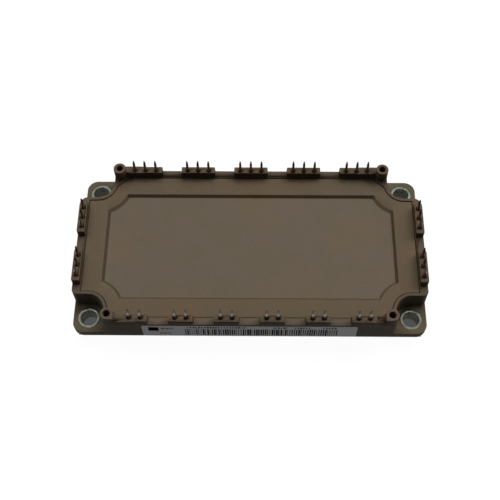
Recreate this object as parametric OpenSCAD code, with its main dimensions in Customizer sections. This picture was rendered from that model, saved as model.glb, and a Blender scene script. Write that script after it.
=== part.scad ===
// Solder-pin power module in the 122 x 62 mm outline: a six-switch transistor bridge on three
// ceramic boards, in a moulded frame that stands on a nickel-plated copper baseplate.
// The origin is the middle of the baseplate's underside, +Z is up, all sizes are millimetres.

/* [Outline] */
// Length of the moulded frame along X, at the tops of its pin blocks
case_l = 121.4; // [121.2:0.1:122]
// Width of the moulded frame along Y, at the tops of its pin blocks
case_w = 61.8; // [61.6:0.1:62]
// How far the outer walls lean out for each millimetre of height
wall_lean = 0.035; // [0:0.005:0.04]
// Radius of the four outer corners
corner_r = 4.2; // [3:0.1:5]
// Height of the flange round the mounting holes
flange_z = 5.5; // [5:0.1:5.7]
// Height of the rim round the lid
rim_z = 12.35; // [12.2:0.05:12.6]
// Height of the raised blocks that carry the pins
tower_z = 15; // [14.5:0.1:15.5]
// Height of the four seats for the circuit board
boss_z = 17; // [16.5:0.1:17.5]

/* [Mounting] */
// Distance between the mounting holes along X
hole_pitch_x = 110; // [109.5:0.1:110.5]
// Distance between the mounting holes along Y
hole_pitch_y = 50; // [49.5:0.1:50.5]
// Diameter of the mounting holes
hole_d = 5.5; // [5.3:0.1:5.6]
// Outer diameter of the rolled steel bushings
bushing_d = 7.4; // [7:0.1:7.6]
// Bore of the rolled steel bushings
bushing_bore = 5.6; // [5.5:0.1:5.8]
// Width of the open seam of a bushing
bushing_seam = 0.25; // [0.1:0.05:0.4]
// How far a bushing stands above the flange
bushing_proud = 0.1; // [0.05:0.05:0.2]
// Radius of the clearance pocket over each flange
pocket_r = 5.65; // [5.4:0.05:5.8]
// Radius of the upright edge beside each pocket
shoulder_r = 2; // [1:0.1:2.4]

/* [Board screws] */
// Distance between the board seats along X
boss_pitch_x = 94.5; // [94:0.1:95]
// Distance between the board seats along Y
boss_pitch_y = 57.5; // [57:0.1:57.6]
// Radius of a board seat
boss_r = 2.2; // [2:0.05:2.2]
// Diameter of a screw hole in a board seat
screw_hole_d = 2.4; // [2:0.1:2.6]
// Depth of a screw hole in a board seat
screw_hole_depth = 8; // [6:0.5:9]

/* [Baseplate] */
// Thickness of the copper baseplate
plate_t = 3; // [2.8:0.1:3.2]
// How far the baseplate is set in from the length and width of the frame
plate_inset = 1.7; // [1.5:0.1:2]
// Corner radius of the baseplate
plate_corner_r = 3; // [2:0.1:4]
// Chamfer on the underside edge of the baseplate
plate_chamfer = 0.3; // [0.1:0.1:0.5]

/* [Lid] */
// Length of the lid
lid_l = 115; // [114.8:0.1:115.2]
// Width of the lid
lid_w = 55.3; // [55.1:0.1:55.5]
// Gap between lid and frame
lid_gap = 0.25; // [0.15:0.05:0.3]
// How far the lid lies below the rim
lid_drop = 0.25; // [0.1:0.05:0.4]
// Thickness of the lid
lid_t = 1.5; // [1.3:0.1:1.5]
// Width of the wall between pocket and lid
corner_wall = 1.05; // [0.9:0.05:1.2]
// Length of the sunken panel in the lid
panel_l = 101.7; // [100:0.1:102]
// Width of the sunken panel in the lid
panel_w = 41.9; // [41:0.1:42]
// Radius of the panel's hollow corners
panel_corner_r = 11.4; // [11:0.1:12]
// Depth of the sunken panel
panel_depth = 1.1; // [0.8:0.05:1.2]
// Width of the slope round the panel
panel_slope = 1.05; // [0.8:0.05:1.3]

/* [Pins] */
// Pitch of the pins within a group
pin_pitch = 3.81; // [3.8:0.01:3.82]
// Pitch of the pairs along the front
pair_pitch = 15.24; // [15.2:0.01:15.3]
// Pitch of the threes along the back and the ends
triple_pitch = 19.05; // [19:0.01:19.1]
// Distance between the front and back pin rows
row_pitch_y = 58.42; // [58.3:0.01:58.5]
// Distance between the left and right pin rows
row_pitch_x = 118.11; // [118:0.01:118.2]
// Width of a pin along its row
pin_w = 0.85; // [0.8:0.05:1.15]
// Thickness of a pin across its row
pin_t = 0.8; // [0.6:0.05:1]
// Height of the pin tips
pin_tip_z = 21; // [20:0.1:21.5]
// Length of the tapered tip
pin_tip_l = 1.7; // [1:0.1:2.5]
// Width of a pin at its tip
pin_tip_w = 0.3; // [0.2:0.05:0.5]
// Radius of the funnel round a pin at the block's top
funnel_r = 0.88; // [0.8:0.02:0.88]
// Depth of the funnel round a pin
funnel_depth = 1.4; // [1:0.1:1.6]

/* [Circuit] */
// Length of a ceramic board along X
board_l = 30; // [29.5:0.1:30.5]
// Width of a ceramic board along Y
board_w = 38; // [37.5:0.1:38]
// Distance between the ceramic boards
board_pitch = 32; // [31.5:0.1:32]
// Side of a switching chip
igbt_side = 9; // [8:0.5:9]
// Side of a diode chip
diode_side = 6; // [5.5:0.5:6]
// Diameter of a bond wire
wire_d = 0.4; // [0.3:0.05:0.4]

/* [Hidden] */
$fn = 64;

// Overlap that keeps cuts clean
eps = 0.05;
// Reach of cuts that only need to be larger than the frame
reach = 20;

hole_x = hole_pitch_x / 2;
hole_y = hole_pitch_y / 2;
boss_x = boss_pitch_x / 2;
boss_y = boss_pitch_y / 2;
row_y = row_pitch_y / 2;
row_x = row_pitch_x / 2;

lid_z = rim_z - lid_drop;
seat_z = lid_z - lid_t;
seat_w = 1;
panel_grow = 0.4;
ledge_z = 6.2;
ledge_w = 3.5;
corner_ledge_w = 1.5;

// Opening in the frame's rim, and the slanting corner beside each board seat
open_l = lid_l + 2 * lid_gap;
open_w = lid_w + 2 * lid_gap;
slant_x = 44.1;
slant_run = 4.2;
slant_y = hole_y - 1;
slant_share = 0.7;

// Pin blocks: depth from the outer wall inwards, draft of the ends, worn edges
tower_step_y = 0.25;
tower_step_x = 0.1;
tower_depth_y = case_w / 2 - open_w / 2 - tower_step_y;
tower_depth_x = case_l / 2 - open_l / 2 - tower_step_x;
tower_foot_z = rim_z - 1;
tower_draft = 0.3;
tower_edge = 0.25;
tower_round = 0.8;
pair_half = 4.05;
triple_half = 6;
low_bridge_drop = 0.3;
// Round mark of the injection gate on the low stretch: place, diameter and depth
gate_mark = [42.8, -29];
gate_mark_d = 0.6;
gate_mark_depth = 0.25;
funnel_neck_r = 0.55;

// Pin foot inside the cavity
foot_t = 0.8;
foot_reach = 5;

// Label on the front wall
label_l = 72.3;
label_z0 = 3.3;
label_h = 8.6;
label_t = 0.1;

// Heights of the board stack
backing_t = 0.3;
ceramic_t = 0.63;
track_t = 0.3;
chip_t = 0.25;
ceramic_z = plate_t + backing_t;
track_z = ceramic_z + ceramic_t;
chip_z = track_z + track_t;
chip_top_z = chip_z + chip_t;
gel_z = 9;

// Plan of one board, from its own middle: supply, output and return rails, and a gate lane
ceramic_edge = 1;
track_gap = 0.6;
track_x = board_l / 2 - ceramic_edge;
track_y = board_w / 2 - ceramic_edge;
lane_w = 1.2;
rail_x = -track_x + lane_w + track_gap;
supply_y = 5.2;
return_y = -12.9;
igbt_x = -6.7;
diode_x = 5;
chip_y = [11.6, -6.8];
pad_w = 1.5;
pad_y = [0.6, 3.1];
thermistor_size = [1.2, 3, 1.2];

// Bond wires: sides of their section, half the angle they sweep, spacing, and where they land
wire_sides = 8;
wire_half_turn = 46;
wire_sink = 4;
wire_step = 1.2;
strap_x = [-4.2, 3];
landing_x = 5.6;
landing_run = 8.2;
landing_inset = 1;
gate_run = 2.8;
pin_landing = 0.5;

plastic = "#5f5344";
nickel = "#b9b6ab";
steel = "#a9aca3";
tin = "#8f8f88";
copper = "#b87348";
alumina = "#ece9e0";
silicon = "#5b5f66";
aluminium = "#c4c6c8";

// ---- placing ----

// Copies a shape made for the +X +Y quarter into all four quarters
module quarters() {
    for (mx = [0, 1], my = [0, 1])
        mirror([mx, 0, 0]) mirror([0, my, 0]) children();
}

// Places a shape whose +Y points inwards from the outer face of one wall
module on_front(x) { translate([x, -case_w / 2, 0]) children(); }
module on_back(x) { translate([x, case_w / 2, 0]) rotate(180) children(); }
module on_left(y) { translate([-case_l / 2, y, 0]) rotate(-90) children(); }
module on_right(y) { translate([case_l / 2, y, 0]) rotate(90) children(); }

function pair_x(i) = (i - 3.5) * pair_pitch;
function triple_x(i) = (i - 3) * triple_pitch;

// ---- frame ----

// Slab with rounded corners between two heights; its walls lean out by a distance on the way up
module rounded_slab(l, w, r, z0, z1, lean) {
    rotate([90, 0, 0]) translate([0, 0, -w / 2 + r]) linear_extrude(w - 2 * r)
        polygon([[-l / 2, z0], [l / 2, z0], [l / 2 + lean, z1], [-l / 2 - lean, z1]]);
    rotate([90, 0, 90]) translate([0, 0, -l / 2 + r]) linear_extrude(l - 2 * r)
        polygon([[-w / 2, z0], [w / 2, z0], [w / 2 + lean, z1], [-w / 2 - lean, z1]]);
    quarters() translate([l / 2 - r, w / 2 - r, z0]) cylinder(r1 = r, r2 = r + lean, h = z1 - z0);
}

// How far the outer walls lie inside the full length and width at a height
function lean_in(z) = wall_lean * (tower_z - z);

// Everything between the leaning outer walls, from the baseplate up to a height
module outline(top_z) {
    low = lean_in(plate_t);
    rounded_slab(case_l - 2 * low, case_w - 2 * low, corner_r - low, plate_t, top_z, low - lean_in(top_z));
}

// Everything above the flange that makes room for a screw head, in the +X +Y quarter
module pocket_cut() {
    translate([hole_x, hole_y, flange_z]) {
        cylinder(r = pocket_r, h = reach);
        translate([0, -pocket_r, 0]) cube([reach, reach, reach]);
        translate([-pocket_r, 0, 0]) cube([reach, reach, reach]);
    }
    translate([boss_x, boss_y, flange_z]) cube([reach, reach, reach]);
    translate([case_l / 2 - shoulder_r, hole_y - pocket_r - shoulder_r, flange_z])
        difference() {
            cube([reach, shoulder_r + eps, reach]);
            translate([0, 0, -eps]) cylinder(r = shoulder_r, h = reach + 2 * eps);
        }
}

// Plan of the space inside the frame, drawn in by a distance from the rim's opening,
// and by another one from the corner pockets
module cavity(inset, corner_inset, z0, z1) {
    r = pocket_r + corner_wall + corner_inset;
    shift = inset * slant_share;
    difference() {
        translate([-open_l / 2 + inset, -open_w / 2 + inset, z0])
            cube([open_l - 2 * inset, open_w - 2 * inset, z1 - z0]);
        quarters() translate([0, 0, z0 - eps]) {
            translate([hole_x, hole_y, 0]) cylinder(r = r, h = z1 - z0 + 2 * eps);
            translate([hole_x, hole_y - r, 0]) cube([reach, reach, z1 - z0 + 2 * eps]);
            linear_extrude(z1 - z0 + 2 * eps) polygon([
                [slant_x - shift, open_w / 2 + eps - shift],
                [slant_x + slant_run - shift, slant_y - shift],
                [case_l / 2, slant_y - shift], [case_l / 2, case_w / 2], [slant_x - shift, case_w / 2]
            ]);
        }
    }
}

// Raised block for a group of pins; its outer face lies in the plane Y = 0
module tower(half, depth) {
    wide = half + tower_draft;
    flank = half + tower_draft / 2;
    intersection() {
        rotate([90, 0, 0]) translate([0, 0, -depth]) linear_extrude(depth)
            polygon([[-wide, tower_foot_z], [wide, tower_foot_z], [half, tower_z], [-half, tower_z]]);
        rotate([90, 0, 90]) translate([0, 0, -wide]) linear_extrude(2 * wide)
            polygon([
                [0, tower_foot_z], [0, tower_z - tower_edge], [tower_edge, tower_z],
                [depth - tower_edge / 2, tower_z], [depth, tower_z - tower_edge / 2], [depth, tower_foot_z]
            ]);
        translate([0, 0, tower_foot_z]) union() {
            translate([-wide, tower_round, 0]) cube([2 * wide, depth, tower_z]);
            translate([-flank + tower_round, 0, 0]) cube([2 * (flank - tower_round), depth, tower_z]);
            for (side = [-1, 1])
                translate([side * (flank - tower_round), tower_round, 0])
                    cylinder(r = tower_round, h = tower_z);
        }
    }
}

// Straight stretch of block that joins an outermost pin block to its board seat
module tower_bridge(from_x, top_z) {
    translate([from_x, 0, tower_foot_z])
        cube([boss_x - from_x, tower_depth_y, top_z - tower_foot_z]);
}

module towers() {
    for (i = [1:6]) on_front(pair_x(i)) tower(pair_half, tower_depth_y);
    for (i = [1:5]) on_back(triple_x(i)) tower(triple_half, tower_depth_y);
    for (s = [-1, 1]) {
        on_left(s * triple_pitch / 2) tower(triple_half, tower_depth_x);
        on_right(s * triple_pitch / 2) tower(triple_half, tower_depth_x);
    }
    on_front(0) {
        mirror([1, 0, 0]) tower_bridge(-pair_x(1), tower_z);
        tower_bridge(pair_x(6), tower_z - low_bridge_drop);
    }
    on_back(0) for (m = [0, 1]) mirror([m, 0, 0]) tower_bridge(triple_x(5), tower_z);
}

// Board seats: round at the back, squared towards the middle at the front
module bosses() {
    quarters() translate([boss_x, boss_y, plate_t + eps]) cylinder(r = boss_r, h = boss_z - plate_t - eps);
    for (m = [0, 1]) mirror([m, 0, 0])
        translate([boss_x - boss_r, -boss_y - boss_r, plate_t + eps])
            cube([boss_r, boss_r, boss_z - plate_t - eps]);
}

// Funnels round the pins, sunk into the tops of the blocks
module funnel() {
    translate([0, 0, tower_z - funnel_depth])
        cylinder(r1 = funnel_neck_r, r2 = funnel_r, h = funnel_depth);
    translate([0, 0, tower_z - eps]) cylinder(r = funnel_r, h = 1);
}

module frame() {
    color(plastic) difference() {
        union() {
            difference() {
                outline(rim_z);
                quarters() pocket_cut();
            }
            intersection() {
                union() {
                    towers();
                    bosses();
                }
                outline(boss_z);
            }
        }
        cavity(0, 0, seat_z, rim_z + reach);
        cavity(seat_w, seat_w, ledge_z, seat_z + eps);
        cavity(seat_w + ledge_w, seat_w + corner_ledge_w, plate_t - eps, ledge_z + eps);
        quarters() {
            translate([hole_x, hole_y, plate_t - eps]) cylinder(d = bushing_d, h = reach);
            translate([boss_x, boss_y, boss_z - screw_hole_depth])
                cylinder(d = screw_hole_d, h = screw_hole_depth + eps, $fn = 48);
        }
        translate([gate_mark[0], gate_mark[1], tower_z - low_bridge_drop - gate_mark_depth])
            cylinder(d = gate_mark_d, h = 1);
        every_pin() pin();
        every_pin() funnel();
    }
}

// ---- metal pieces ----

module baseplate() {
    l = case_l - 2 * plate_inset;
    w = case_w - 2 * plate_inset;
    color(nickel) difference() {
        union() {
            rounded_slab(l - 2 * plate_chamfer, w - 2 * plate_chamfer, plate_corner_r - plate_chamfer,
                         0, plate_chamfer, plate_chamfer);
            rounded_slab(l, w, plate_corner_r, plate_chamfer, plate_t, 0);
        }
        quarters() translate([hole_x, hole_y, -eps]) cylinder(d = hole_d, h = plate_t + 2 * eps);
    }
}

// Collar rolled from strip, with its open seam turned to an angle
module bushing(sx, sy, seam_angle) {
    color(steel) translate([sx * hole_x, sy * hole_y, plate_t]) difference() {
        cylinder(d = bushing_d, h = flange_z + bushing_proud - plate_t);
        translate([0, 0, -eps]) cylinder(d = bushing_bore, h = reach);
        rotate(seam_angle) translate([0, -bushing_seam / 2, -eps]) cube([bushing_d, bushing_seam, reach]);
    }
}

// Bent pin: a tapered post with a flat foot that reaches inwards for the bond wires
module pin() {
    tip_z = pin_tip_z - pin_tip_l;
    intersection() {
        rotate([90, 0, 90]) translate([0, 0, -pin_w / 2]) linear_extrude(pin_w)
            polygon([
                [-pin_t / 2, ledge_z], [foot_reach, ledge_z], [foot_reach, ledge_z + foot_t],
                [pin_t / 2, ledge_z + foot_t], [pin_t / 2, tip_z], [pin_tip_w / 2, pin_tip_z],
                [-pin_tip_w / 2, pin_tip_z], [-pin_t / 2, tip_z]
            ]);
        rotate([90, 0, 0]) translate([0, 0, -foot_reach - eps]) linear_extrude(foot_reach + pin_t)
            polygon([
                [-pin_w / 2, ledge_z - eps], [pin_w / 2, ledge_z - eps], [pin_w / 2, tip_z],
                [pin_tip_w / 2, pin_tip_z], [-pin_tip_w / 2, pin_tip_z], [-pin_w / 2, tip_z]
            ]);
    }
}

// Sets a shape at each pin of one group; +Y of the shape points inwards
module front_pair(i) {
    for (s = [-0.5, 0.5]) translate([pair_x(i) + s * pin_pitch, -row_y, 0]) children();
}
module back_triple(i) {
    for (s = [-1:1]) translate([triple_x(i) + s * pin_pitch, row_y, 0]) rotate(180) children();
}
module end_triple(sx, sy) {
    for (s = [-1:1]) translate([sx * row_x, sy * triple_pitch / 2 + s * pin_pitch, 0])
        rotate(90 * sx) children();
}
module every_pin() {
    for (i = [1:6]) front_pair(i) children();
    for (i = [1:5]) back_triple(i) children();
    for (sx = [-1, 1], sy = [-1, 1]) end_triple(sx, sy) children();
}

// ---- lid and label ----

// Volume of the sunken panel below a height, with slopes that run on above it:
// straight slopes on four sides, cones at the hollow corners
module panel(z_top, depth, grow, above) {
    l = panel_l + 2 * grow;
    w = panel_w + 2 * grow;
    h = depth + above;
    z0 = z_top - depth;
    spread = panel_slope * above / depth;
    hollow_r = panel_corner_r - grow;
    translate([0, 0, z0]) difference() {
        intersection() {
            rotate([90, 0, 0]) translate([0, 0, -w]) linear_extrude(2 * w) polygon([
                [-l / 2 + panel_slope, 0], [l / 2 - panel_slope, 0], [l / 2 + spread, h], [-l / 2 - spread, h]
            ]);
            rotate([90, 0, 90]) translate([0, 0, -l]) linear_extrude(2 * l) polygon([
                [-w / 2 + panel_slope, 0], [w / 2 - panel_slope, 0], [w / 2 + spread, h], [-w / 2 - spread, h]
            ]);
        }
        quarters() translate([hole_x, hole_y, 0])
            cylinder(r1 = hollow_r + panel_slope, r2 = hollow_r - spread, h = h);
    }
}

module lid() {
    color(plastic) difference() {
        union() {
            cavity(lid_gap, lid_gap, seat_z, lid_z);
            panel(seat_z + eps, panel_depth, panel_grow, 0);
        }
        panel(lid_z, panel_depth, 0, eps);
    }
}

// Film that lies flat on the leaning front wall
module label() {
    top_z = label_z0 + label_h;
    low_y = lean_in(label_z0) - case_w / 2;
    top_y = lean_in(top_z) - case_w / 2;
    color("#d9d9d6") rotate([90, 0, 90]) translate([0, 0, -label_l / 2]) linear_extrude(label_l)
        polygon([[low_y - label_t, label_z0], [low_y, label_z0], [top_y, top_z], [top_y - label_t, top_z]]);
}

// ---- circuit ----

module at_board(i) { translate([(i - 2) * board_pitch, 0, 0]) children(); }

module slab(x0, y0, x1, y1, z, t) { translate([x0, y0, z]) cube([x1 - x0, y1 - y0, t]); }

module backing(i) {
    color(copper) at_board(i)
        slab(-board_l / 2 + ceramic_edge, -board_w / 2 + ceramic_edge,
             board_l / 2 - ceramic_edge, board_w / 2 - ceramic_edge, plate_t, backing_t);
}

module ceramic(i) {
    color(alumina) at_board(i)
        slab(-board_l / 2, -board_w / 2, board_l / 2, board_w / 2, ceramic_z, ceramic_t);
}

// Etched areas: supply rail at the back, output in the middle, return rail at the front,
// a gate lane beside each switch and two pads for the temperature sensor
module tracks(i) {
    color(copper) at_board(i) {
        slab(rail_x, supply_y, track_x, track_y, track_z, track_t);
        slab(rail_x, return_y + track_gap, track_x, supply_y - track_gap, track_z, track_t);
        slab(rail_x, -track_y, track_x, return_y, track_z, track_t);
        for (y = chip_y)
            slab(-track_x, y - igbt_side / 2, -track_x + lane_w, y + igbt_side / 2, track_z, track_t);
        for (y = pad_y) slab(-track_x, y, -track_x + lane_w, y + pad_w, track_z, track_t);
    }
}

// One square chip of a given side on each of the two switch places of a board
module chip_pair(i, x, side) {
    color(silicon) at_board(i) for (y = chip_y)
        slab(x - side / 2, y - side / 2, x + side / 2, y + side / 2, chip_z, chip_t);
}
module igbt_chips(i) { chip_pair(i, igbt_x, igbt_side); }
module diode_chips(i) { chip_pair(i, diode_x, diode_side); }

// Temperature sensor: a small block that bridges the two pads of the third board
module thermistor() {
    middle_y = (pad_y[0] + pad_y[1] + pad_w) / 2;
    color("#2d4d3c") at_board(3)
        translate([-track_x + lane_w / 2, middle_y, chip_z + thermistor_size[2] / 2])
            cube(thermistor_size, center = true);
}

// Round wire bowed between two surfaces at heights z0 and z1, a plan distance apart along +X.
// Its ends run on a little and are cut flush with the surfaces they are bonded to.
module bond_wire(run, z0, z1) {
    rise = z1 - z0;
    chord = sqrt(run * run + rise * rise);
    r = chord / 2 / sin(wire_half_turn);
    sweep = wire_half_turn + wire_sink;
    difference() {
        translate([run / 2, 0, (z0 + z1) / 2]) rotate([90, 0, 0]) rotate(atan2(rise, run))
            translate([0, -r * cos(wire_half_turn)]) rotate(90 - sweep)
                rotate_extrude(angle = 2 * sweep, $fn = 96)
                    translate([r, 0]) circle(d = wire_d, $fn = wire_sides);
        translate([-run / 2, -wire_d, z0 - reach]) cube([run, 2 * wire_d, reach]);
        translate([run / 2, -wire_d, z1 - reach]) cube([run, 2 * wire_d, reach]);
    }
}

// Per switch: straps from chip to diode, wires on to the next rail, and one to the gate lane
module bond_wires(i) {
    color(aluminium) at_board(i) for (y = chip_y) {
        for (k = [-1.5:1.5])
            translate([strap_x[0], y + k * wire_step, 0])
                bond_wire(strap_x[1] - strap_x[0], chip_top_z, chip_top_z);
        for (k = [-1:1])
            translate([landing_x + k * wire_step, y - landing_inset, 0]) rotate(-90)
                bond_wire(landing_run, chip_top_z, chip_z);
        translate([-track_x + lane_w / 2, y, 0]) bond_wire(gate_run, chip_z, chip_top_z);
    }
}

// Nearest place along X where a wire can land on a board's rails
function land_x(x) =
    let (middle = round(x / board_pitch) * board_pitch)
    max(middle + rail_x + pin_landing, min(middle + track_x - pin_landing, x));

// Wire from a point on a pin foot to a point on the tracks
module wire_to_track(from, to) {
    d = to - from;
    translate([from[0], from[1], 0]) rotate(atan2(d[1], d[0]))
        bond_wire(norm(d), ledge_z + foot_t, chip_z);
}

// One wire from each pin foot to the nearest rail
module pin_wires() {
    foot_y = row_y - foot_reach + pin_landing;
    foot_x = row_x - foot_reach + pin_landing;
    end_x = board_pitch + track_x - pin_landing;
    rail_end_x = -board_pitch + rail_x + pin_landing;
    land_y = track_y - pin_landing;
    color(aluminium) {
        for (i = [1:6], s = [-0.5, 0.5]) let (x = pair_x(i) + s * pin_pitch)
            wire_to_track([x, -foot_y], [land_x(x), -land_y]);
        for (i = [1:5], s = [-1:1]) let (x = triple_x(i) + s * pin_pitch)
            wire_to_track([x, foot_y], [land_x(x), land_y]);
        for (side = [-0.5, 0.5], s = [-1:1]) let (y = side * triple_pitch + s * pin_pitch) {
            wire_to_track([-foot_x, y], [rail_end_x, y]);
            wire_to_track([foot_x, y], [end_x, y]);
        }
    }
}

module silicone_gel() {
    color([0.85, 0.88, 0.9, 0.4]) difference() {
        union() {
            cavity(seat_w, seat_w, ledge_z, gel_z);
            cavity(seat_w + ledge_w, seat_w + corner_ledge_w, plate_t, ledge_z + eps);
        }
        every_pin() pin();
        for (i = [1:3]) {
            backing(i);
            ceramic(i);
            tracks(i);
            igbt_chips(i);
            diode_chips(i);
            bond_wires(i);
        }
        pin_wires();
        thermistor();
    }
}

baseplate();
frame();
lid();
label();
bushing(-1, -1, 100);  // bushing_front_left
bushing(1, -1, 92);  // bushing_front_right
bushing(-1, 1, 240);  // bushing_back_left
bushing(1, 1, 64);  // bushing_back_right
color(tin) front_pair(1) pin();  // pins_front_1
color(tin) front_pair(2) pin();  // pins_front_2
color(tin) front_pair(3) pin();  // pins_front_3
color(tin) front_pair(4) pin();  // pins_front_4
color(tin) front_pair(5) pin();  // pins_front_5
color(tin) front_pair(6) pin();  // pins_front_6
color(tin) back_triple(1) pin();  // pins_back_1
color(tin) back_triple(2) pin();  // pins_back_2
color(tin) back_triple(3) pin();  // pins_back_3
color(tin) back_triple(4) pin();  // pins_back_4
color(tin) back_triple(5) pin();  // pins_back_5
color(tin) end_triple(-1, -1) pin();  // pins_left_front
color(tin) end_triple(-1, 1) pin();  // pins_left_back
color(tin) end_triple(1, -1) pin();  // pins_right_front
color(tin) end_triple(1, 1) pin();  // pins_right_back
backing(1);  // backing_1
backing(2);  // backing_2
backing(3);  // backing_3
ceramic(1);  // ceramic_1
ceramic(2);  // ceramic_2
ceramic(3);  // ceramic_3
tracks(1);  // tracks_1
tracks(2);  // tracks_2
tracks(3);  // tracks_3
igbt_chips(1);  // igbt_chips_1
igbt_chips(2);  // igbt_chips_2
igbt_chips(3);  // igbt_chips_3
diode_chips(1);  // diode_chips_1
diode_chips(2);  // diode_chips_2
diode_chips(3);  // diode_chips_3
thermistor();
bond_wires(1);  // bond_wires_1
bond_wires(2);  // bond_wires_2
bond_wires(3);  // bond_wires_3
pin_wires();
silicone_gel();
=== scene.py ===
"""Looks of a solder-pin power module: moulded frame and lid, rolled bushings, tinned pins, film label."""

import math
import bmesh
import bpy
from mathutils import Matrix, Vector


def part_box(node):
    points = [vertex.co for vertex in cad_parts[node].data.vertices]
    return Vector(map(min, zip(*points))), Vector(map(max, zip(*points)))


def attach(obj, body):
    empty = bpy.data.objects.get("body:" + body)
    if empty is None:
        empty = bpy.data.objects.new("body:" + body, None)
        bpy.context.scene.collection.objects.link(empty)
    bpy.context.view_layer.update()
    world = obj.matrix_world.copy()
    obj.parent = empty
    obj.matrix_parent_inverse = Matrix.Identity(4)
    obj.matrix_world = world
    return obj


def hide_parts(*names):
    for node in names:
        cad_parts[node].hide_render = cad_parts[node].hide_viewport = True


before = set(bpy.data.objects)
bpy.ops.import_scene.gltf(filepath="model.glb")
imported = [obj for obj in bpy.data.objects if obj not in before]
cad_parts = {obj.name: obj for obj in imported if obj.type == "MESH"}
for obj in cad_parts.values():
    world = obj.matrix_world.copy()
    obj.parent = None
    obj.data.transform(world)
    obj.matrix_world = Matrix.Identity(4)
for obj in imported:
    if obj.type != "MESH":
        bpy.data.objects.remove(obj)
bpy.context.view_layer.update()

MM = 0.001
# Points of a mesh that lie closer than this are one point.
SAME_POINT = 0.0005 * MM


# ---- camera, light and floor ----

def add_camera():
    """Looks down on the module from the front, a little right of its middle."""
    data = bpy.data.cameras.new("camera")
    data.lens = 66.32
    data.sensor_width = 36
    data.shift_x = -0.00058
    data.shift_y = 0.00192
    data.clip_start = 0.01
    camera = bpy.data.objects.new("camera", data)
    camera.matrix_world = (
        Matrix.Translation(Vector((3.07, -157.27, 292.45)) * MM)
        @ Matrix.Rotation(math.radians(1.119), 4, "Z")
        @ Matrix.Rotation(math.radians(28.94), 4, "X")
        @ Matrix.Rotation(math.radians(-0.685), 4, "Z")
    )
    bpy.context.scene.collection.objects.link(camera)
    bpy.context.scene.camera = camera


def linear(hex_colour):
    """The linear colour of an sRGB hex value."""
    channels = [int(hex_colour[i:i + 2], 16) / 255 for i in (1, 3, 5)]
    return (*[c / 12.92 if c <= 0.04045 else ((c + 0.055) / 1.055) ** 2.4 for c in channels], 1.0)


def node(tree, kind, sockets=None, **settings):
    """Adds a shader node. A socket given another socket is linked to it; any other value is set."""
    made = tree.nodes.new("ShaderNode" + kind)
    for name, value in settings.items():
        setattr(made, name, value)
    for key, value in (sockets or {}).items():
        if isinstance(value, bpy.types.NodeSocket):
            tree.links.new(value, made.inputs[key])
        else:
            made.inputs[key].default_value = value
    return made


def seen_directly(tree):
    """1 for rays that show the surroundings: straight, in a gloss, or through something clear."""
    path = node(tree, "LightPath")
    gloss = node(tree, "Math", {0: path.outputs["Is Camera Ray"], 1: path.outputs["Is Glossy Ray"]},
                 operation="MAXIMUM")
    clear = node(tree, "Math", {0: gloss.outputs[0], 1: path.outputs["Is Transmission Ray"]},
                 operation="MAXIMUM")
    return clear.outputs[0]


def add_world():
    """A white surround that grows dim overhead, and lights the module only faintly."""
    world = bpy.data.worlds.new("studio")
    world.use_nodes = True
    tree = world.node_tree
    tree.nodes.clear()
    way = node(tree, "TexCoord").outputs["Generated"]
    height = node(tree, "SeparateXYZ", {0: way}).outputs["Z"]
    sky = node(tree, "MapRange", {0: height, 1: 0.3, 2: 0.9, 3: 1.0, 4: 0.42}).outputs[0]
    level = node(tree, "Mix", {0: seen_directly(tree), 2: 0.02, 3: sky}).outputs[0]
    light = node(tree, "Background", {"Color": (1, 1, 1, 1), "Strength": level})
    node(tree, "OutputWorld", {"Surface": light.outputs[0]})
    bpy.context.scene.world = world


def add_floor():
    """A plain pale floor that shows white and keeps the module's shadow.

    Under the module its glow is turned down, as a painted shadow, so that the bores don't show white."""
    bpy.ops.object.select_all(action="DESELECT")
    just_below = -0.04 * MM
    bpy.ops.mesh.primitive_plane_add(size=8, location=(0, 0, just_below))
    floor = bpy.context.active_object
    floor.name = "floor"
    material = bpy.data.materials.new("painted_floor")
    material.use_nodes = True
    tree = material.node_tree
    tree.nodes.clear()
    place = node(tree, "SeparateXYZ", {0: node(tree, "TexCoord").outputs["Object"]})
    # Painted shadow: inside this footprint the floor's glow drops to 0.08 of its level outside.
    beyond = []
    for axis, half_mm in (("X", 59), ("Y", 29)):
        reach = node(tree, "Math", {0: place.outputs[axis]}, operation="ABSOLUTE")
        beyond.append(node(tree, "Math", {0: reach.outputs[0], 1: half_mm * MM}, operation="GREATER_THAN"))
    open_floor = node(tree, "Math", {0: beyond[0].outputs[0], 1: beyond[1].outputs[0]}, operation="MAXIMUM")
    level = node(tree, "MapRange", {0: open_floor.outputs[0], 3: 0.08, 4: 1.0})
    strength = node(tree, "Math", {0: level.outputs[0], 1: seen_directly(tree)}, operation="MULTIPLY")
    paint = node(tree, "BsdfDiffuse", {"Color": linear("#4a4a4a")})
    glow = node(tree, "Emission", {"Color": linear("#fbfbfb"), "Strength": strength.outputs[0]})
    both = node(tree, "AddShader", {0: paint.outputs[0], 1: glow.outputs[0]})
    node(tree, "OutputMaterial", {"Surface": both.outputs[0]})
    floor.data.materials.append(material)


def add_lamp(name, metres, length, width, watts):
    """A broad soft lamp that faces the module and isn't mirrored in it."""
    data = bpy.data.lights.new(name, "AREA")
    data.shape = "RECTANGLE"
    data.size = length
    data.size_y = width
    data.energy = watts
    lamp = bpy.data.objects.new(name, data)
    place = Vector(metres)
    lamp.matrix_world = Matrix.Translation(place) @ place.to_track_quat("Z", "Y").to_matrix().to_4x4()
    lamp.visible_glossy = False
    bpy.context.scene.collection.objects.link(lamp)


def add_lamps():
    """A long lamp behind the module at 38 degrees, and one over each end."""
    add_lamp("back_lamp", (0.21, 0.74, 0.95), length=1.5, width=0.51, watts=12.6)
    add_lamp("right_lamp", (0.82, 0.35, 0.85), length=0.5, width=0.5, watts=5.4)
    add_lamp("left_lamp", (-0.6, 0.3, 0.95), length=0.5, width=0.5, watts=3.7)


# ---- materials ----

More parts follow.
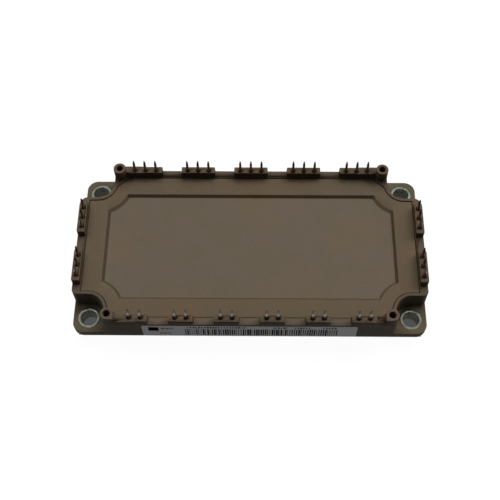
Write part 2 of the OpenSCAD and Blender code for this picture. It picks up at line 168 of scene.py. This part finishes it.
def grain(size_mm):
    """Texture scale that makes one cell of a pattern this many millimetres wide."""
    return 1 / (size_mm * MM)


def new_material(name, **sockets):
    """A principled material with its plain values set, and what its pattern nodes need."""
    material = bpy.data.materials.new(name)
    material.use_nodes = True
    tree = material.node_tree
    tree.nodes.clear()
    shader = node(tree, "BsdfPrincipled")
    for key, value in sockets.items():
        shader.inputs[key.replace("_", " ")].default_value = value
    node(tree, "OutputMaterial", {"Surface": shader.outputs[0]})
    place = node(tree, "TexCoord").outputs["Object"]
    return material, tree, shader, place


def moulded_plastic(name, main, warm, olive, painted_light_and_shade_bands):
    """Glass-filled PBT from a spark-eroded mould: matte, with faint flow blotches and a fine grit.

    Each band is a low and a high level in millimetres and the tint of what lies between them: painted shade
    where the tint is below one, painted light where it is above one.
    The grit is drawn coarser than the mould's own, so that it shows."""
    material, tree, shader, place = new_material(name, IOR=1.5, Specular_IOR_Level=0.1)
    flow = node(tree, "TexNoise", {"Vector": place, "Scale": grain(17), "Detail": 2.0})
    warm_share = node(tree, "MapRange", {0: flow.outputs[0], 1: 0.5, 2: 0.68, 3: 0.0, 4: 1.0})
    warmed = node(tree, "Mix", {0: warm_share.outputs[0], 6: linear(main), 7: linear(warm)},
                  data_type="RGBA")
    drift = node(tree, "TexNoise", {"Vector": place, "Scale": grain(11), "Detail": 1.0},
                 noise_dimensions="4D")
    olive_share = node(tree, "MapRange", {0: drift.outputs[0], 1: 0.52, 2: 0.7, 3: 0.0, 4: 1.0})
    blotched = node(tree, "Mix", {0: olive_share.outputs[0], 6: warmed.outputs[2], 7: linear(olive)},
                    data_type="RGBA")
    speck = node(tree, "TexNoise", {"Vector": place, "Scale": grain(0.9), "Detail": 3.0})
    speck_share = node(tree, "MapRange", {0: speck.outputs[0], 1: 0.3, 2: 0.7, 3: 0.95, 4: 1.05})
    specked = node(tree, "Mix", {0: 1.0, 6: blotched.outputs[2], 7: speck_share.outputs[0]},
                   data_type="RGBA", blend_type="MULTIPLY")
    colour = specked.outputs[2]
    height = node(tree, "SeparateXYZ", {0: place}).outputs["Z"]
    # Painted shade and painted light by height: each band darkens or lightens the colour between its two
    # levels.
    for low_mm, high_mm, tint in painted_light_and_shade_bands:
        over = node(tree, "Math", {0: height, 1: low_mm * MM}, operation="GREATER_THAN")
        under = node(tree, "Math", {0: height, 1: high_mm * MM}, operation="LESS_THAN")
        share = node(tree, "Math", {0: over.outputs[0], 1: under.outputs[0]}, operation="MULTIPLY")
        colour = node(tree, "Mix", {0: share.outputs[0], 6: colour, 7: (*tint, 1.0)},
                      data_type="RGBA", blend_type="MULTIPLY").outputs[2]
    tree.links.new(colour, shader.inputs["Base Color"])
    matte = node(tree, "MapRange", {0: speck.outputs[0], 1: 0.3, 2: 0.7, 3: 0.62, 4: 0.76})
    tree.links.new(matte.outputs[0], shader.inputs["Roughness"])
    grit = node(tree, "TexNoise", {"Vector": place, "Scale": grain(0.35), "Detail": 2.0})
    bump = node(tree, "Bump", {"Strength": 0.5, "Distance": 0.02 * MM, "Height": grit.outputs[0]})
    tree.links.new(bump.outputs[0], shader.inputs["Normal"])
    return material


def zinc_plated_steel():
    """Bright zinc plate on rolled strip: greenish silver, clouded where the passivate ran."""
    material, tree, shader, place = new_material("zinc_plated_rolled_steel", Metallic=1.0)
    cloud = node(tree, "TexNoise", {"Vector": place, "Scale": grain(1.6), "Detail": 3.0})
    share = node(tree, "MapRange", {0: cloud.outputs[0], 1: 0.35, 2: 0.65, 3: 0.0, 4: 1.0})
    colour = node(tree, "Mix", {0: share.outputs[0], 6: linear("#c3c8bd"), 7: linear("#969f90")},
                  data_type="RGBA")
    tree.links.new(colour.outputs[2], shader.inputs["Base Color"])
    rough = node(tree, "MapRange", {0: cloud.outputs[0], 1: 0.3, 2: 0.7, 3: 0.2, 4: 0.42})
    tree.links.new(rough.outputs[0], shader.inputs["Roughness"])
    return material


def tinned_copper():
    """Tin on stamped copper strip: silver shanks, with brown feet and dark tips that are painted reflection
    of the brown block tops and the dark room in front.
    """
    material, tree, shader, place = new_material("tinned_copper_strip")
    # Painted reflection: the foot band turns brown and the tip band dark, where the pins mirror the brown
    # block tops and the dark room in front.
    foot_fades, tip_starts = (17.4, 18.0), (18.8, 19.2)
    height = node(tree, "SeparateXYZ", {0: place}).outputs["Z"]
    tip = node(tree, "MapRange", {0: height, 1: tip_starts[0] * MM, 2: tip_starts[1] * MM, 3: 0.0, 4: 1.0})
    foot = node(tree, "MapRange", {0: height, 1: foot_fades[0] * MM, 2: foot_fades[1] * MM, 3: 1.0, 4: 0.0})
    dull = node(tree, "Math", {0: tip.outputs[0], 1: foot.outputs[0]}, operation="MAXIMUM")
    cloud = node(tree, "TexNoise", {"Vector": place, "Scale": grain(0.8), "Detail": 2.0})
    tin = node(tree, "Mix", {0: cloud.outputs[0], 6: linear("#7a7771"), 7: linear("#65625b")},
               data_type="RGBA")
    shank = node(tree, "Mix", {0: foot.outputs[0], 6: tin.outputs[2], 7: linear("#7c6a4a")},
                 data_type="RGBA")
    colour = node(tree, "Mix", {0: tip.outputs[0], 6: shank.outputs[2], 7: linear("#463a2b")},
                  data_type="RGBA")
    tree.links.new(colour.outputs[2], shader.inputs["Base Color"])
    # Less metal in the painted reflection bands at the feet and tips.
    metal = node(tree, "MapRange", {0: dull.outputs[0], 3: 1.0, 4: 0.3})
    tree.links.new(metal.outputs[0], shader.inputs["Metallic"])
    rough = node(tree, "MapRange", {0: cloud.outputs[0], 1: 0.3, 2: 0.7, 3: 0.08, 4: 0.15})
    tree.links.new(rough.outputs[0], shader.inputs["Roughness"])
    return material


def matte_nickel():
    """Nickel plate on milled copper: a warm dull silver with a fine lengthwise grain."""
    material, tree, shader, place = new_material("nickel_plated_copper", Metallic=1.0)
    along = node(tree, "Mapping", {"Vector": place, "Scale": (0.04, 1.0, 1.0)})
    line = node(tree, "TexNoise", {"Vector": along.outputs[0], "Scale": grain(0.25), "Detail": 3.0})
    colour = node(tree, "Mix", {0: line.outputs[0], 6: linear("#c9c4b6"), 7: linear("#aca697")},
                  data_type="RGBA")
    tree.links.new(colour.outputs[2], shader.inputs["Base Color"])
    rough = node(tree, "MapRange", {0: line.outputs[0], 1: 0.3, 2: 0.7, 3: 0.34, 4: 0.5})
    tree.links.new(rough.outputs[0], shader.inputs["Roughness"])
    return material


def label_film():
    """Satin silver polyester with plain printing: a band of upright bars below a broken line.

    The ink has no gloss, so it stays dark beside the white floor."""
    material, tree, shader, place = new_material("printed_polyester_film", Roughness=0.45)
    split = node(tree, "SeparateXYZ", {0: place})
    x, z = split.outputs["X"], split.outputs["Z"]

    def between(value, low_mm, high_mm):
        """1 where a coordinate lies between two places."""
        over = node(tree, "Math", {0: value, 1: low_mm * MM}, operation="GREATER_THAN")
        under = node(tree, "Math", {0: value, 1: high_mm * MM}, operation="LESS_THAN")
        return node(tree, "Math", {0: over.outputs[0], 1: under.outputs[0]},
                    operation="MULTIPLY").outputs[0]

    def bars(pitch_mm, thin, thick, seed):
        """Upright bars at an even pitch, each with its own share of the pitch."""
        cell = node(tree, "Math", {0: x, 1: 1 / (pitch_mm * MM)}, operation="MULTIPLY")
        step = node(tree, "Math", {0: cell.outputs[0]}, operation="FLOOR")
        shifted = node(tree, "Math", {0: step.outputs[0], 1: seed}, operation="ADD")
        chance = node(tree, "TexWhiteNoise", {"W": shifted.outputs[0]}, noise_dimensions="1D")
        share = node(tree, "MapRange", {0: chance.outputs["Value"], 3: thin, 4: thick})
        along = node(tree, "Math", {0: cell.outputs[0]}, operation="FRACT")
        return node(tree, "Math", {0: along.outputs[0], 1: share.outputs[0]},
                    operation="LESS_THAN").outputs[0]

    def patch(pattern, x_range, z_range):
        """A pattern cut to a rectangle of the label, in millimetres."""
        field = node(tree, "Math", {0: between(x, *x_range), 1: between(z, *z_range)},
                     operation="MULTIPLY")
        return node(tree, "Math", {0: field.outputs[0], 1: pattern}, operation="MULTIPLY").outputs[0]

    printing = [
        patch(bars(0.75, 0.25, 0.8, 3.0), (-22.0, 29.6), (4.1, 9.2)),
        patch(1.0, (-34.0, -30.6), (7.6, 10.6)),
        patch(bars(0.6, 0.4, 0.8, 11.0), (-29.8, -25.6), (9.0, 10.2)),
        patch(bars(0.6, 0.4, 0.8, 13.0), (-30.4, -26.4), (5.0, 6.0)),
    ]
    for stretch in ((-21.2, -1.5), (8.0, 12.6), (14.6, 20.4), (24.6, 29.4)):
        printing.append(patch(bars(0.95, 0.3, 0.7, 7.0), stretch, (9.9, 11.1)))
    ink = printing[0]
    for part in printing[1:]:
        ink = node(tree, "Math", {0: ink, 1: part}, operation="MAXIMUM").outputs[0]
    cloud = node(tree, "TexNoise", {"Vector": place, "Scale": grain(4), "Detail": 2.0})
    film = node(tree, "Mix", {0: cloud.outputs[0], 6: linear("#b4b4b8"), 7: linear("#a3a3a9")},
                data_type="RGBA")
    colour = node(tree, "Mix", {0: ink, 6: film.outputs[2], 7: linear("#2e2e30")}, data_type="RGBA")
    tree.links.new(colour.outputs[2], shader.inputs["Base Color"])
    gloss = node(tree, "MapRange", {0: ink, 3: 0.5, 4: 0.0})
    tree.links.new(gloss.outputs[0], shader.inputs["Specular IOR Level"])
    return material


def clouded(name, light, dark, size_mm, **sockets):
    """A finish that wanders between two tones in clouds of one size."""
    material, tree, shader, place = new_material(name, **sockets)
    cloud = node(tree, "TexNoise", {"Vector": place, "Scale": grain(size_mm), "Detail": 3.0})
    share = node(tree, "MapRange", {0: cloud.outputs[0], 1: 0.35, 2: 0.65, 3: 0.0, 4: 1.0})
    colour = node(tree, "Mix", {0: share.outputs[0], 6: linear(light), 7: linear(dark)},
                  data_type="RGBA")
    tree.links.new(colour.outputs[2], shader.inputs["Base Color"])
    return material


def paint_circuit():
    """Finishes of the sealed circuit: each kind of node takes its own."""
    finishes = {
        # Etched copper foil: warm, slightly tarnished in clouds.
        ("backing", "tracks"): clouded("etched_copper_foil", "#c98a5e", "#9c6140", 2.0,
                                       Metallic=1.0, Roughness=0.35),
        # Fired alumina: chalk white with a faint warm cloud.
        ("ceramic",): clouded("fired_alumina", "#efece4", "#dfdbd0", 3.0, Roughness=0.6),
        # Metallised silicon: dark blue-grey mirror with soft stains.
        ("igbt_chips", "diode_chips"): clouded("metallised_silicon", "#767b84", "#555a63", 1.5,
                                               Metallic=1.0, Roughness=0.25),
        # Glass-coated sensor bead: deep green under a clear skin.
        ("thermistor",): clouded("glass_coated_sensor", "#2f5a44", "#1f3f30", 0.6,
                                 Roughness=0.15, IOR=1.52),
        # Drawn aluminium wire: pale and clean.
        ("bond_wires", "pin_wires"): clouded("drawn_aluminium_wire", "#d8dadc", "#bfc2c5", 0.5,
                                             Metallic=1.0, Roughness=0.3),
    }
    for starts, material in finishes.items():
        for name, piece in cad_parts.items():
            if name.startswith(starts):
                dress(piece, material)
    gel, tree, shader, place = new_material("clear_silicone_gel", Roughness=0.1, IOR=1.41,
                                            Transmission_Weight=1.0)
    haze = node(tree, "TexNoise", {"Vector": place, "Scale": grain(6), "Detail": 2.0})
    colour = node(tree, "Mix", {0: haze.outputs[0], 6: linear("#f4f7f7"), 7: linear("#e6ecec")},
                  data_type="RGBA")
    tree.links.new(colour.outputs[2], shader.inputs["Base Color"])
    dress(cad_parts["silicone_gel"], gel)


# ---- shaping ----

def dress(piece, material):
    """Gives a piece one material all over."""
    piece.data.materials.clear()
    piece.data.materials.append(material)


def settle(piece, material, slot, *nodes):
    """Finishes a piece: its material, its body and the modelled nodes that it stands for."""
    dress(piece, material)
    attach(piece, "root")
    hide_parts(*nodes)


def start_block(name, low_mm, high_mm):
    """A box between two corners, selected all over in edit mode."""
    bpy.ops.object.select_all(action="DESELECT")
    bpy.ops.mesh.primitive_cube_add(size=1)
    piece = bpy.context.active_object
    piece.name = name
    bpy.ops.object.mode_set(mode="EDIT")
    size = [(b - a) * MM for a, b in zip(low_mm, high_mm)]
    middle = [(a + b) / 2 * MM for a, b in zip(low_mm, high_mm)]
    bpy.ops.transform.resize(value=size, center_override=(0, 0, 0))
    bpy.ops.transform.translate(value=middle)
    return piece


def pick_faces(piece, test):
    """Selects the faces whose middle, in millimetres, and normal pass a test."""
    bpy.ops.mesh.select_all(action="DESELECT")
    bpy.ops.mesh.select_mode(type="FACE")
    mesh = bmesh.from_edit_mesh(piece.data)
    for face in mesh.faces:
        face.select_set(test(face.calc_center_median() / MM, face.normal))
    bmesh.update_edit_mesh(piece.data)


def pick_edges(piece, test):
    """Selects the edges that pass a test."""
    bpy.ops.mesh.select_all(action="DESELECT")
    bpy.ops.mesh.select_mode(type="EDGE")
    mesh = bmesh.from_edit_mesh(piece.data)
    for edge in mesh.edges:
        edge.select_set(test(edge))
    bmesh.update_edit_mesh(piece.data)


def round_edges(piece, width_mm, segments, angle):
    """Rounds every edge sharper than an angle, then smooths what lies flatter than it."""
    bpy.ops.object.select_all(action="DESELECT")
    bpy.context.view_layer.objects.active = piece
    piece.select_set(True)
    bevel = piece.modifiers.new("rounded_edges", "BEVEL")
    bevel.width = width_mm * MM
    bevel.segments = segments
    bevel.limit_method = "ANGLE"
    bevel.angle_limit = math.radians(angle)
    bevel.use_clamp_overlap = False
    bpy.ops.object.modifier_apply(modifier=bevel.name)
    bpy.ops.object.shade_smooth_by_angle(angle=math.radians(angle))


def moulding(name, node_name, worn_mm, levels_mm):
    """A moulded part: the modelled solid as one skin, with worn edges at the given heights."""
    def worn(edge):
        """An outward edge over 60 degrees that lies level at one of the heights."""
        ends = [vert.co / MM for vert in edge.verts]
        level = any(all(abs(end.z - z) < 0.01 for end in ends) for z in levels_mm)
        return level and edge.calc_face_angle_signed(0) > math.radians(60)

    bpy.ops.object.select_all(action="DESELECT")
    piece = bpy.data.objects.new(name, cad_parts[node_name].data.copy())
    bpy.context.scene.collection.objects.link(piece)
    bpy.context.view_layer.objects.active = piece
    piece.select_set(True)
    bpy.ops.object.mode_set(mode="EDIT")
    bpy.ops.mesh.select_all(action="SELECT")
    bpy.ops.mesh.remove_doubles(threshold=SAME_POINT)
    pick_edges(piece, worn)
    bpy.ops.mesh.bevel(offset=worn_mm * MM, segments=3, affect="EDGES", clamp_overlap=False)
    bpy.ops.object.mode_set(mode="OBJECT")
    bpy.ops.object.shade_smooth_by_angle(angle=math.radians(32))
    flatten = piece.modifiers.new("flat_faces_stay_flat", "WEIGHTED_NORMAL")
    flatten.keep_sharp = True
    bpy.ops.object.modifier_apply(modifier=flatten.name)
    return piece


def model_pin():
    """A bent pin that stands at the origin: tapered tip, square shank and a foot along +Y."""
    width, thick, foot_z, foot_t, reach = 0.85, 0.8, 6.2, 0.8, 5.0
    tip_z, tip_l, tip_w = 21.0, 1.7, 0.3
    pin = start_block("pin", (-width / 2, -thick / 2, foot_z), (width / 2, thick / 2, foot_z + foot_t))
    pick_faces(pin, lambda middle, normal: normal.z > 0.9)
    shank = (tip_z - tip_l - foot_z - foot_t) * MM
    bpy.ops.mesh.extrude_region_move(TRANSFORM_OT_translate={"value": (0, 0, shank)})
    bpy.ops.mesh.extrude_region_move(TRANSFORM_OT_translate={"value": (0, 0, tip_l * MM)})
    bpy.ops.transform.resize(value=(tip_w / width, tip_w / thick, 1), center_override=(0, 0, tip_z * MM))
    pick_faces(pin, lambda middle, normal: normal.y > 0.9 and middle.z < foot_z + foot_t)
    bpy.ops.mesh.extrude_region_move(TRANSFORM_OT_translate={"value": (0, (reach - thick / 2) * MM, 0)})
    bpy.ops.object.mode_set(mode="OBJECT")
    round_edges(pin, width_mm=0.09, segments=2, angle=20)
    return pin


def copy_to(model, name, places):
    """One piece made of copies of a model, each at its own place."""
    bpy.ops.object.select_all(action="DESELECT")
    for place in places:
        mesh = model.data.copy()
        mesh.transform(place)
        made = bpy.data.objects.new(name, mesh)
        bpy.context.scene.collection.objects.link(made)
        made.select_set(True)
        bpy.context.view_layer.objects.active = made
    bpy.ops.object.join()
    joined = bpy.context.active_object
    joined.name = name
    return joined


def standing(x_mm, y_mm, turn):
    """The place of something turned about its own upright axis."""
    return Matrix.Translation(Vector((x_mm, y_mm, 0)) * MM) @ Matrix.Rotation(math.radians(turn), 4, "Z")


def model_bushing():
    """A collar rolled from strip: rounded rims, and an open seam that starts at +X."""
    bore, outer, foot, top, seam = 5.6, 7.4, 3.0, 5.6, 0.25
    rim_r = 0.24
    bpy.ops.object.select_all(action="DESELECT")
    bpy.ops.mesh.primitive_plane_add(size=1)
    piece = bpy.context.active_object
    piece.name = "bushing"
    bpy.ops.object.mode_set(mode="EDIT")
    bpy.ops.transform.resize(value=((outer - bore) / 2 * MM, (top - foot) * MM, 1),
                             center_override=(0, 0, 0))
    bpy.ops.mesh.bevel(affect="VERTICES", offset=rim_r * MM, segments=4, clamp_overlap=True)
    bpy.ops.object.mode_set(mode="OBJECT")
    piece.data.transform(Matrix.Rotation(math.radians(90), 4, "X"))
    piece.data.transform(Matrix.Translation(Vector(((outer + bore) / 4, 0, (top + foot) / 2)) * MM))
    half_seam = seam / (outer + bore) * 2
    piece.data.transform(Matrix.Rotation(half_seam, 4, "Z"))
    bpy.ops.object.mode_set(mode="EDIT")
    bpy.ops.mesh.select_all(action="SELECT")
    bpy.ops.mesh.spin(steps=80, angle=2 * math.pi - 2 * half_seam, center=(0, 0, 0), axis=(0, 0, 1))
    bpy.ops.mesh.select_all(action="SELECT")
    bpy.ops.mesh.remove_doubles(threshold=SAME_POINT)
    bpy.ops.mesh.normals_make_consistent(inside=False)
    bpy.ops.object.mode_set(mode="OBJECT")
    bpy.ops.object.shade_smooth_by_angle(angle=math.radians(40))
    return piece


# ---- pieces ----

def add_mouldings():
    """The frame and the lid.

    The tints of walls, slopes, the lid margin and tops are painted shade and painted light; they make up
    for shading that the soft lamps leave out."""
    # Painted light on the flange and block tops; painted shade on the block walls, the panel's slope and
    # the lid margin.
    flange_tops_painted_light = (5.4, 5.6, (1.06, 1.14, 1.06))
    block_sides_painted_shade = (12.42, 14.8, (0.55, 0.5, 0.45))
    block_tops_painted_light = (14.8, 18.0, (1.08, 1.04, 1.04))
    panel_slope_painted_shade = (11.06, 12.04, (0.5, 0.46, 0.42))
    lid_margin_painted_shade = (12.04, 12.2, (0.9, 0.85, 0.78))
    frame_plastic = moulded_plastic("glass_filled_pbt_frame", "#584d40", "#5e4e3f", "#544c3f",
                                    [flange_tops_painted_light, block_sides_painted_shade, block_tops_painted_light])
    lid_plastic = moulded_plastic("glass_filled_pbt_lid", "#645a4d", "#675a4b", "#625a4a",
                                  [panel_slope_painted_shade, lid_margin_painted_shade])
    worn_frame = moulding("moulded_frame", "frame", 0.15, (5.5, 12.35, 17.0))
    worn_lid = moulding("moulded_lid", "lid", 0.06, (12.1,))
    settle(worn_frame, frame_plastic, "moulded_plastic", "frame")
    settle(worn_lid, lid_plastic, "moulded_plastic", "lid")


def add_pins():
    """Pins in pairs along the front, and in threes along the back and the ends."""
    pitch, pair, triple = 3.81, 15.24, 19.05
    row_y, row_x = 29.21, 59.055
    material = tinned_copper()
    model = model_pin()
    groups = {}
    for i in range(6):
        groups[f"pins_front_{i + 1}"] = [
            standing((i - 2.5) * pair + s * pitch, -row_y, 0) for s in (-0.5, 0.5)]
    for i in range(5):
        groups[f"pins_back_{i + 1}"] = [
            standing((i - 2) * triple + s * pitch, row_y, 180) for s in (-1, 0, 1)]
    for side, sx in (("left", -1), ("right", 1)):
        for end, sy in (("front", -1), ("back", 1)):
            groups[f"pins_{side}_{end}"] = [
                standing(sx * row_x, sy * triple / 2 + s * pitch, 90 * sx) for s in (-1, 0, 1)]
    for name, places in groups.items():
        settle(copy_to(model, "solder_" + name, places), material, "tinned_pins", name)
    bpy.data.objects.remove(model)


def add_bushings():
    """The four rolled collars, each with its seam turned its own way."""
    material = zinc_plated_steel()
    model = model_bushing()
    for name, sx, sy, turn in (("front_left", -1, -1, 100), ("front_right", 1, -1, 92),
                               ("back_left", -1, 1, 240), ("back_right", 1, 1, 64)):
        piece = copy_to(model, "rolled_bushing_" + name, [standing(sx * 55, sy * 25, turn)])
        settle(piece, material, "zinc_steel", "bushing_" + name)
    bpy.data.objects.remove(model)


def add_label():
    """The film label on the front wall, with rounded corners; it leans out with the wall."""
    low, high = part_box("label")
    film_t, corner_r = 0.08, 0.5
    wall_lean = math.atan(0.035)
    foot = Vector((0, high.y, low.z))
    piece = start_block("film_label", (low.x / MM, foot.y / MM - film_t, low.z / MM),
                        (high.x / MM, foot.y / MM, high.z / MM))
    pick_edges(piece, lambda edge: abs((edge.verts[1].co - edge.verts[0].co).normalized().y) > 0.9)
    bpy.ops.mesh.bevel(offset=corner_r * MM, segments=5, affect="EDGES", clamp_overlap=True)
    bpy.ops.object.mode_set(mode="OBJECT")
    piece.data.transform(Matrix.Translation(foot) @ Matrix.Rotation(wall_lean, 4, "X")
                         @ Matrix.Translation(-foot))
    bpy.ops.object.shade_smooth_by_angle(angle=math.radians(35))
    settle(piece, label_film(), "label_film", "label")


bpy.context.scene.view_settings.view_transform = "Standard"
add_camera()
add_world()
add_floor()
add_lamps()
add_mouldings()
add_pins()
add_bushings()
add_label()
dress(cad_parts["baseplate"], matte_nickel())
paint_circuit()
